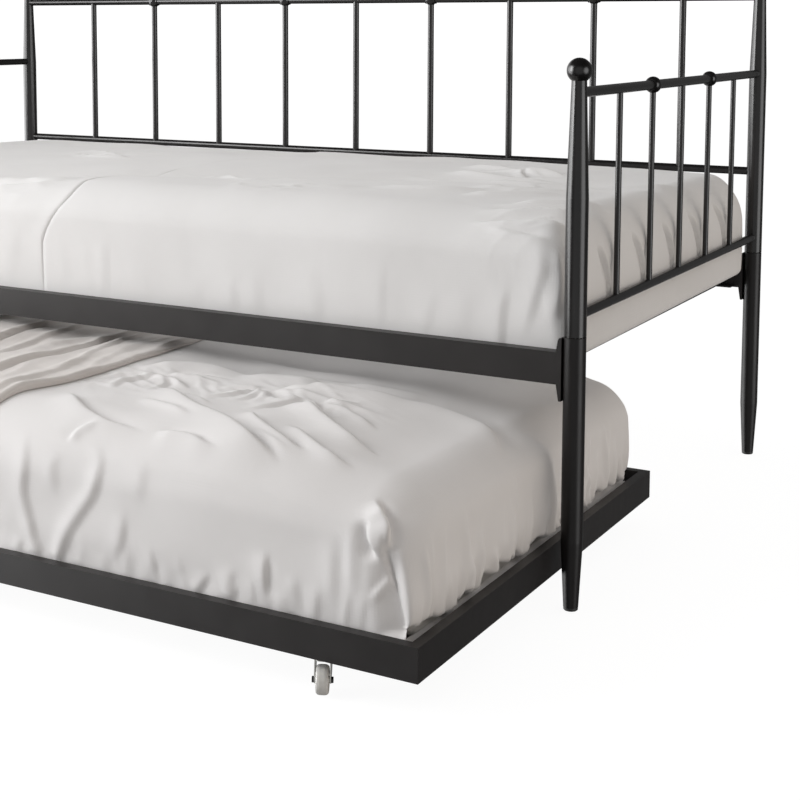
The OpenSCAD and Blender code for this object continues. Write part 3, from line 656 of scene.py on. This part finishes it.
def lower_wrinkles(p, n):
    """The folds of the loose lower sheet. by is the bed's middle, zt the top, f the front."""
    by, zt, f = BED_Y, low_hi[2] + 0.003, low_lo[1] - 0.002
    _, deep, high = LOWER_ROUND
    front_top = low_lo[1] + deep
    h = np.zeros(len(p))

    def z_at(y):
        """Height of the rounded top there."""
        return zt - high * (1 - math.sqrt(1 - min(1, max(0, front_top - y) / deep) ** 2))

    def on_top(height, rise, fall, *xy, **kw):
        return fold(p, n, [(a, by + b, z_at(by + b)) for a, b in xy], height, rise, fall, **kw)

    # long folds that run forwards to the right
    h += on_top(0.0080, 0.028, 0.008, (0.24, -0.805), (0.32, -0.865), (0.38, -0.887),
                (0.42, -0.892), (0.465, -0.900))
    h += on_top(0.0062, 0.022, 0.006, (0.475, -0.890), (0.535, -0.890), (0.570, -0.900),
                (0.600, -0.908))
    h += on_top(0.0042, 0.012, 0.006, (0.37, -0.785), (0.46, -0.818), (0.51, -0.848))
    h += on_top(0.0130, 0.036, 0.008, (0.34, -0.69), (0.458, -0.781), (0.542, -0.823),
                (0.620, -0.868), (0.660, -0.888), (0.700, -0.910), gully=0.5, ends=(0.25, 0.22))
    h += on_top(0.0050, 0.012, 0.006, (0.383, -0.713), (0.44, -0.733), (0.485, -0.762))
    h += on_top(0.0095, 0.018, 0.006, (0.55, -0.76), (0.62, -0.824), (0.69, -0.863),
                (0.730, -0.876), gully=0.5, ends=(0.25, 0.3))
    h += on_top(0.0045, 0.010, 0.006, (0.60, -0.840), (0.655, -0.864), (0.705, -0.884))
    h += on_top(0.0095, 0.017, 0.006, (0.64, -0.79), (0.72, -0.845), (0.762, -0.864),
                (0.800, -0.876), gully=0.5, ends=(0.3, 0.3))
    h += on_top(0.0135, 0.026, 0.007, (0.59, -0.675), (0.685, -0.745), (0.747, -0.784),
                (0.805, -0.806), gully=0.5, ends=(0.2, 0.3))
    h += on_top(0.0050, 0.014, 0.008, (0.64, -0.645), (0.70, -0.680), (0.75, -0.715))
    h += on_top(-0.0060, 0.009, None, (0.64, -0.676), (0.67, -0.707))
    # pinched spots
    h += star(p, n, (0.595, by - 0.645, zt), 0.03, 7, 0.095, 0.0048, 0.011, 31, (210, 400))
    h += star(p, n, (0.50, by - 0.625, zt), 0.03, 7, 0.09, 0.0048, 0.010, 39, (200, 390))
    h += star(p, n, (0.29, by - 0.625, zt), 0.025, 7, 0.10, 0.0050, 0.010, 33, (215, 390))
    for x, y, turn, seed in ((0.30, -0.66, -30, 71), (0.40, -0.67, -32, 72),
                             (0.53, -0.655, -30, 73), (0.62, -0.63, -20, 74),
                             (0.24, -0.70, -35, 75)):
        h += crumple(p, (x, by + y, zt), (0.090, 0.050), turn, 0.020, 0.0017, seed)
    # the ridge along the shaded part under the bed
    for pts, t in [(((0.235, -0.615), (0.30, -0.555), (0.36, -0.545), (0.43, -0.555)), 0.0085),
                   (((0.40, -0.560), (0.47, -0.550), (0.54, -0.545), (0.62, -0.560)), 0.0090),
                   (((0.52, -0.610), (0.60, -0.575), (0.68, -0.560), (0.76, -0.550)), 0.0095),
                   (((0.70, -0.555), (0.79, -0.548), (0.87, -0.575), (0.93, -0.610)), 0.0070)]:
        h += on_top(t, 0.034, 0.018, *pts, gully=0.3)
        h += on_top(-t * 0.6, 0.030, None, *[(a, b + 0.045) for a, b in pts], ends=(0.2, 0.2))
    h += on_top(0.0040, 0.020, 0.010, (0.35, -0.45), (0.50, -0.47), (0.66, -0.45))
    h += on_top(0.0038, 0.016, 0.009, (0.45, -0.50), (0.58, -0.505), (0.74, -0.49))
    # the rounded front and its skirt
    h += fold(p, n, [(0.343, by - 0.928, 0.275), (0.352, by - 0.910, 0.291),
                     (0.378, by - 0.895, 0.300)], 0.0045, 0.010, 0.008)
    for pts, t, rise, fall in [
            (((0.150, 0.270), (0.158, 0.190), (0.150, 0.098)), 0.0045, 0.024, 0.018),
            (((0.257, 0.292), (0.264, 0.268), (0.271, 0.235), (0.267, 0.195), (0.278, 0.150),
              (0.294, 0.098)), 0.0052, 0.017, 0.011),
            (((0.385, 0.296), (0.402, 0.275), (0.408, 0.250), (0.400, 0.215), (0.375, 0.180),
              (0.350, 0.144), (0.327, 0.098)), 0.0062, 0.015, 0.011),
            (((0.327, 0.270), (0.322, 0.235), (0.330, 0.190)), 0.0030, 0.016, 0.014),
            (((0.478, 0.275), (0.484, 0.245), (0.478, 0.205)), 0.0024, 0.018, 0.016),
            (((0.456, 0.200), (0.450, 0.150), (0.428, 0.112)), 0.0042, 0.020, 0.010),
            (((0.606, 0.135), (0.596, 0.118), (0.580, 0.098)), 0.0040, 0.010, 0.007),
            (((0.647, 0.150), (0.642, 0.125), (0.646, 0.098)), 0.0028, 0.014, 0.009),
            (((0.701, 0.185), (0.700, 0.150), (0.699, 0.105)), 0.0060, 0.018, 0.005),
            (((0.742, 0.160), (0.746, 0.130), (0.744, 0.098)), 0.0026, 0.014, 0.010),
            (((0.800, 0.225), (0.803, 0.180), (0.804, 0.110)), 0.0030, 0.016, 0.012),
            (((0.829, 0.240), (0.832, 0.200), (0.835, 0.130)), 0.0040, 0.007, 0.016)]:
        low_end = 0.04 if pts[-1][1] < 0.1 else 0.45       # it runs behind the rail, or fades out
        h += fold(p, n, [(a, f, b) for a, b in pts], 0.75 * t, rise, 1.3 * fall, 0.3,
                  (0.4, low_end))
    h += pleats(p, n, 46, (-0.92, 0.24), lambda u, z: (u, f, z), (0.15, 0.26), SKIRT_FOOT,
                (0.001, 0.0048), (0.012, 0.030), 0.03, 45)
    h += pleats(p, n, 26, (0.24, 0.86), lambda u, z: (u, f, z), (0.12, 0.17), SKIRT_FOOT,
                (0.0004, 0.0018), (0.007, 0.020), 0.02, 46)
    # the pocket at the front right corner, the puff beside it, and the crisp fold over a hollow
    h += fold(p, n, [(0.850, f + 0.006, 0.250), (0.853, f, 0.220), (0.870, f, 0.193)],
              -0.0110, 0.010, 0.008, 0.2, (0.3, 0.3))
    h += fold(p, n, [(0.862, f + 0.020, 0.288), (0.882, f + 0.012, 0.262),
                     (0.888, f + 0.010, 0.238), (0.880, f + 0.006, 0.205)],
              0.0150, 0.022, 0.007, 0.7, (0.35, 0.35))
    crisp = [(0.916, f + 0.002, 0.100), (0.908, f + 0.002, 0.150),
             (0.902, f + 0.003, 0.190), (0.889, f + 0.006, 0.232)]
    h += fold(p, n, crisp, -0.0170, 0.007, 0.050, 0.0, (0.03, 0.4))
    h += fold(p, n, [(x - 0.008, y, z) for x, y, z in crisp[1:]], -0.0045, 0.004, ends=(0.3, 0.1))
    h += fold(p, n, crisp[::-1], 0.0035, 0.004, 0.006, 0.0, (0.2, 0.05))
    h += fold(p, n, [(0.862, f, 0.138), (0.876, f + 0.002, 0.158), (0.890, f + 0.004, 0.176)],
              0.0040, 0.007, 0.005, ends=(0.4, 0.2))
    # the right and left ends
    for x in (-low_hi[0], low_hi[0]):
        def at(u, z):
            return (x, by + u, z)

        h += fold(p, n, [at(-0.535, 0.290), at(-0.505, 0.225), at(-0.483, 0.170),
                         at(-0.470, 0.100)], 0.0085, 0.060, 0.045, 0.5, (0.35, 0.02))
        h += fold(p, n, [at(-0.64, 0.21), at(-0.625, 0.16), at(-0.62, 0.10)],
                  0.0050, 0.010, 0.007, 0.5, (0.4, 0.02))
        h += fold(p, n, [at(-0.34, 0.19), at(-0.31, 0.14), at(-0.29, 0.10)],
                  0.0050, 0.011, 0.007, 0.5, (0.4, 0.02))
        h += pleats(p, n, 30, (-0.92, -0.10), at, (0.14, 0.25), SKIRT_FOOT,
                    (0.0020, 0.0085), (0.007, 0.015), 0.02, 47)
        h += pleats(p, n, 44, (-0.92, -0.10), at, (0.12, 0.19), SKIRT_FOOT,
                    (0.0006, 0.0030), (0.004, 0.008), 0.015, 49)
    # the back
    h += pleats(p, n, 40, (-0.92, 0.92), lambda u, z: (u, low_hi[1] + 0.002, z), (0.13, 0.22),
                SKIRT_FOOT, (0.0012, 0.0050), (0.008, 0.018), 0.02, 48)
    return h


def make_lower():
    """The lower mattress and its loose sheet, which is returned."""
    inner = 0.006                              # the pad's box is smaller by this
    core_box = Box(low_lo + [inner, inner, 0], low_hi - inner, COARSE, PAD_UNDER)
    p, n, h, _, side = lower_shape(core_box, -0.014)
    h = np.minimum(h, -0.007) - 0.034 * side * fade(p[:, 2], rail_top + 0.06, rail_top + 0.02)
    core = core_box.mesh("trundle_pad", p + n * h[:, None], cap=True)
    declare(core, "ticking", "trundle", "trundle_mattress")

    box = Box(low_lo, low_hi, FINE, LOWER_TUCK)
    p, n, h, top, side = lower_shape(box, -0.001)
    covered = top * fade(p[:, 0], bl_hi[0] + 0.02, bl_hi[0] - 0.06)
    h += lower_wrinkles(p, n) * (1 - 0.9 * covered)        # the blanket presses them flat
    # the gathered foot draws in inside the rails, more so at the ends
    foot = fade(p[:, 2], rail_top + 0.050, rail_top + 0.006)
    end = fade(np.abs(n[:, 0]), 0.3, 0.7)
    uneven = 0.0015 * wave_noise(p, 42, 0.022, 2, 0.6, (1, 1, 5))
    h += side * foot * (uneven - 0.0015 - 0.0035 * end)
    ragged = 1 - 2 * np.abs(wave_noise(p * [0, 1, 0], 43, 0.045, 2, 0.6))
    hem = rail_top + 0.003 + 0.006 * ragged
    h -= side * end * 0.036 * fade(p[:, 2], hem + 0.005, hem - 0.004)
    h = np.where(p[:, 2] < rail_top + 0.002, np.minimum(h, -0.0005), h)
    sheet = box.mesh("trundle_sheet", box.relax(p + n * h[:, None]))
    declare(sheet, "lower_sheet", "trundle")
    return sheet


def make_blanket(below):
    """A soft throw folded into a few layers that step down to the right, draped on the sheet."""
    tree = BVHTree.FromObject(below, bpy.context.evaluated_depsgraph_get())
    lo, hi = bl_lo, bl_hi - [0.004, 0, 0]
    box = Box(lo, hi, FINE * 1.2, 0.0)
    u = box.unit
    x, y = lo[0] + u[:, 0] * (hi[0] - lo[0]), lo[1] + u[:, 1] * (hi[1] - lo[1])
    # its right edge wanders, and draws back to the left towards the front
    wob = 0.004 * np.sin(y * 8.3 + 0.6) + 0.003 * np.sin(y * 21 + 1) + 0.0013 * np.sin(y * 57)
    wob = wob - 0.042 * fade(y, BED_Y - 0.60, BED_Y - 0.92)
    x = x + wob * u[:, 0] ** 3

    def sheet_z(a, b):
        """Height of the sheet below that point, or the blanket's top where there is none."""
        hit = tree.ray_cast(Vector((a, b, 0.6)), Vector((0, 0, -1)))[0]
        return hi[2] if hit is None else hit.z

    ground = np.array([sheet_z(a, b) for a, b in zip(x, y)])
    thick = np.full(len(x), 0.0085)
    flat = np.column_stack([x, y, np.zeros(len(x))])
    for at, w in ((0.072, 0.7), (-0.100, -0.8), (-0.255, 0.6), (-0.470, -0.7), (-0.70, 0.5)):
        line = at + w * wob + 0.012 * np.sin(y * 5 + 9 * at)
        gap = line - x                                  # positive on the layer's own side
        thick += 0.0042 * smooth(gap / 0.005)           # one more layer
        rolled = np.exp(-((gap - 0.010) / 0.009) ** 2)
        thick += 0.0022 * rolled * smooth(gap / 0.005)  # its rolled edge
        thick -= 0.0050 * np.exp(-((gap + 0.003) / 0.005) ** 2)     # and the dip beside it
    up = np.tile([0.0, 0, 1], (len(x), 1))

    def ridge(height, rise, fall, *xy, **kw):
        return fold(flat, up, [(a, BED_Y + b, 0) for a, b in xy], height, rise, fall, **kw)

    thick += ridge(0.0044, 0.012, 0.010, (0.055, -0.14), (0.075, -0.36), (0.105, -0.56),
                   (0.140, -0.68), (0.150, -0.80), (0.150, -0.94), gully=0.3, ends=(0.35, 0.05))
    thick += ridge(0.0042, 0.012, 0.010, (-0.075, -0.14), (-0.060, -0.40), (-0.035, -0.60),
                   (-0.015, -0.71), (0.0, -0.84), (-0.01, -0.94), gully=0.3, ends=(0.35, 0.05))
    for pts, height, rise, fall in [
            (((-0.18, -0.52), (-0.14, -0.70), (-0.13, -0.92)), 0.0055, 0.024, 0.010),
            (((0.20, -0.36), (0.19, -0.44), (0.20, -0.55)), 0.0040, 0.016, 0.008),
            (((-0.40, -0.36), (-0.36, -0.66), (-0.38, -0.92)), 0.0055, 0.030, 0.012),
            (((-0.62, -0.20), (-0.58, -0.55), (-0.60, -0.90)), 0.0050, 0.030, 0.014)]:
        thick += ridge(height, rise, fall, *pts)
    thick += (0.0022 * wave_noise(flat, 51, 0.16, 3, 0.55, (1, 2.4, 1))
              + 0.0007 * wave_noise(flat, 52, 0.03, 2))
    crease = 1 - 2.4 * np.abs(wave_noise(flat, 53, 0.07, 2, 0.5, (1, 2.6, 1)))
    thick += 0.0022 * np.clip(crease, -0.6, 1)
    # its outer edges are rounded off
    near = np.minimum(x - x.min(), hi[0] + wob - x)
    near = np.minimum(near, np.minimum(y - lo[1], hi[1] - y)).clip(0, None)
    round_off = np.sqrt(1 - (1 - (near / 0.005).clip(0, 1)) ** 2)
    thick = np.maximum(thick, 0.005) * (0.55 + 0.45 * round_off)
    z = np.minimum(ground + 0.0012 + u[:, 2] * thick, hi[2] + 0.006)
    throw = box.mesh("folded_throw", np.column_stack([x, y, z]))
    declare(throw, "blanket", "trundle", "trundle_blanket")


make_upper()
make_blanket(make_lower())


# -------- camera, floor and light

CAMERA_AT = (1.8007, BED_Y - 2.6608, 0.8954)
CAMERA_TILT, CAMERA_TURN = 5.692, 30.582       # degrees below level, and to the left of +Y
LENS = 69.27                                   # mm, on a sensor 36 mm wide
SHIFT = (0.10, -0.28)                          # shares of the frame's width
SKY = 0.825                                    # strength of the studio's soft light
BACKDROP = 1.1                                 # what the camera sees behind the object
FLOOR_GLOW, FLOOR_GREY = 0.93, 0.14            # its own light, and how much it takes a shadow

camera_data = bpy.data.cameras.new("camera")
camera = bpy.data.objects.new("camera", camera_data)
scene.collection.objects.link(camera)
camera.location = CAMERA_AT
camera.rotation_euler = (math.radians(90 - CAMERA_TILT), 0, math.radians(CAMERA_TURN))
camera_data.lens = LENS
camera_data.sensor_width = 36
camera_data.shift_x, camera_data.shift_y = SHIFT
camera_data.clip_start, camera_data.clip_end = 0.05, 100
scene.camera = camera


def make_floor():
    """A pale floor that shows the contact shadows and throws no light on the object."""
    me = bpy.data.meshes.new("floor")
    s = 40                                     # half of its side
    me.from_pydata([(-s, -s, 0), (s, -s, 0), (s, s, 0), (-s, s, 0)], [], [(0, 1, 2, 3)])
    floor = bpy.data.objects.new("floor", me)
    scene.collection.objects.link(floor)
    m = bpy.data.materials.new("floor")
    m.use_nodes = True
    t = m.node_tree
    t.nodes.clear()
    out = t.nodes.new("ShaderNodeOutputMaterial")
    mix = t.nodes.new("ShaderNodeAddShader")
    glow = t.nodes.new("ShaderNodeEmission")
    glow.inputs["Strength"].default_value = FLOOR_GLOW
    matt = t.nodes.new("ShaderNodeBsdfDiffuse")
    matt.inputs["Color"].default_value = (FLOOR_GREY, FLOOR_GREY, FLOOR_GREY, 1)
    t.links.new(glow.outputs[0], mix.inputs[0])
    t.links.new(matt.outputs[0], mix.inputs[1])
    t.links.new(mix.outputs[0], out.inputs["Surface"])
    floor.data.materials.append(m)
    floor.visible_diffuse = False
    floor.visible_glossy = False
    floor.visible_transmission = False


def lobe(tree, coord, azimuth, inner, outer):
    """1 within `inner` degrees of that direction round the object, 0 beyond `outer`. 0 degrees is
    towards -Y and 90 towards +X."""
    a = math.radians(azimuth)
    dot = tree.nodes.new("ShaderNodeVectorMath")
    dot.operation = "DOT_PRODUCT"
    dot.inputs[1].default_value = (math.sin(a), -math.cos(a), 0)
    tree.links.new(coord, dot.inputs[0])
    r = tree.nodes.new("ShaderNodeMapRange")
    r.interpolation_type = "SMOOTHSTEP"
    r.inputs["From Min"].default_value = math.cos(math.radians(outer))
    r.inputs["From Max"].default_value = math.cos(math.radians(inner))
    tree.links.new(dot.outputs["Value"], r.inputs["Value"])
    return r.outputs["Result"]


def greys(*stops):
    """Stops of a ramp from (position, grey) pairs."""
    return [(at, (v, v, v)) for at, v in stops]


def mixed(tree, kind, a, b, factor=1.0):
    """Two colours mixed; each may be a socket, a colour or a grey."""
    m = tree.nodes.new("ShaderNodeMix")
    m.data_type, m.blend_type = "RGBA", kind
    for slot, v in ((0, factor), (6, a), (7, b)):      # sockets 6, 7 and 2 are the colour ones
        if isinstance(v, (int, float)):
            m.inputs[slot].default_value = v if slot == 0 else (v, v, v, 1)
        elif isinstance(v, tuple):
            m.inputs[slot].default_value = (*v, 1)
        else:
            tree.links.new(v, m.inputs[slot])
    return m.outputs[2]


def make_world():
    """White to the camera. As light it is a studio that is pale behind the object and warm at its
    right, and dim where the photographer stands."""
    world = bpy.data.worlds.new("studio")
    scene.world = world
    world.use_nodes = True
    t = world.node_tree
    t.nodes.clear()
    out = t.nodes.new("ShaderNodeOutputWorld")
    coord = t.nodes.new("ShaderNodeTexCoord").outputs["Generated"]
    sep = t.nodes.new("ShaderNodeSeparateXYZ")
    t.links.new(coord, sep.inputs[0])
    height = spread(t, sep.outputs["Z"], 0, 1, -1, 1)

    ring = mixed(t, "MIX", 1.0, 0.40, lobe(t, coord, 5, 20, 70))
    ring = mixed(t, "MIX", ring, (1.02, 0.935, 0.85), lobe(t, coord, 95, 25, 75))
    rise = ramp(t, height, *greys((0.10, 0.50), (0.44, 0.80), (0.56, 0.95), (0.85, 0.72)))
    soft = t.nodes.new("ShaderNodeBackground")
    soft.inputs["Strength"].default_value = SKY
    t.links.new(mixed(t, "MULTIPLY", ring, rise), soft.inputs["Color"])

    # what shiny parts see: a dim room, its white back wall, and a long panel at the left and right
    shine = mixed(t, "MIX", 0.14, 0.55, lobe(t, coord, 20, 20, 50))
    shine = mixed(t, "MIX", shine, 1.1, lobe(t, coord, 243, 18, 40))
    shine = mixed(t, "MIX", shine, 6.0, lobe(t, coord, -72, 12, 36))
    shine = mixed(t, "MIX", shine, 3.2, lobe(t, coord, 84, 12, 30))
    band = ramp(t, height, *greys((0.14, 0.25), (0.30, 1.0), (0.70, 1.0), (0.86, 0.25)))
    gloss = t.nodes.new("ShaderNodeBackground")
    t.links.new(mixed(t, "MULTIPLY", shine, band), gloss.inputs["Color"])

    white = t.nodes.new("ShaderNodeBackground")
    white.inputs["Color"].default_value = (1, 1, 1, 1)
    white.inputs["Strength"].default_value = BACKDROP
    path = t.nodes.new("ShaderNodeLightPath")
    room = t.nodes.new("ShaderNodeMixShader")
    t.links.new(path.outputs["Is Glossy Ray"], room.inputs[0])
    t.links.new(soft.outputs[0], room.inputs[1])
    t.links.new(gloss.outputs[0], room.inputs[2])
    mix = t.nodes.new("ShaderNodeMixShader")
    t.links.new(path.outputs["Is Camera Ray"], mix.inputs[0])
    t.links.new(room.outputs[0], mix.inputs[1])
    t.links.new(white.outputs[0], mix.inputs[2])
    t.links.new(mix.outputs[0], out.inputs["Surface"])


def softbox(name, azimuth, rise, away, size, radiance, aim=(0.3, BED_Y - 0.4, 0.5)):
    """A rectangular light that faces `aim` from `away` metres, `azimuth` degrees round from -Y
    towards +X and `rise` degrees up. The camera doesn't see it."""
    data = bpy.data.lights.new(name, "AREA")
    data.shape = "RECTANGLE"
    data.size, data.size_y = size
    data.energy = radiance * math.pi * size[0] * size[1]
    light = bpy.data.objects.new(name, data)
    scene.collection.objects.link(light)
    a, e = math.radians(azimuth), math.radians(rise)
    aim = Vector(aim)
    towards = Vector((math.sin(a) * math.cos(e), -math.cos(a) * math.cos(e), math.sin(e)))
    light.location = aim + away * towards
    light.rotation_euler = (aim - light.location).to_track_quat("-Z", "Y").to_euler()
    light.visible_camera = False


make_floor()
make_world()
softbox("key", azimuth=-50, rise=19, away=4.2, size=(1.9, 2.9), radiance=8.3)
# light that the white mattresses throw to each other under the bed, from 3 mm below its rail
rail_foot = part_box("front_rail")[0][2]
softbox("under_bed", azimuth=0, rise=90, away=0.3, size=(1.7, 0.86), radiance=0.25,
        aim=(0, BED_Y, rail_foot - 0.303))

scene.view_settings.view_transform = "Standard"
scene.view_settings.look = "None"
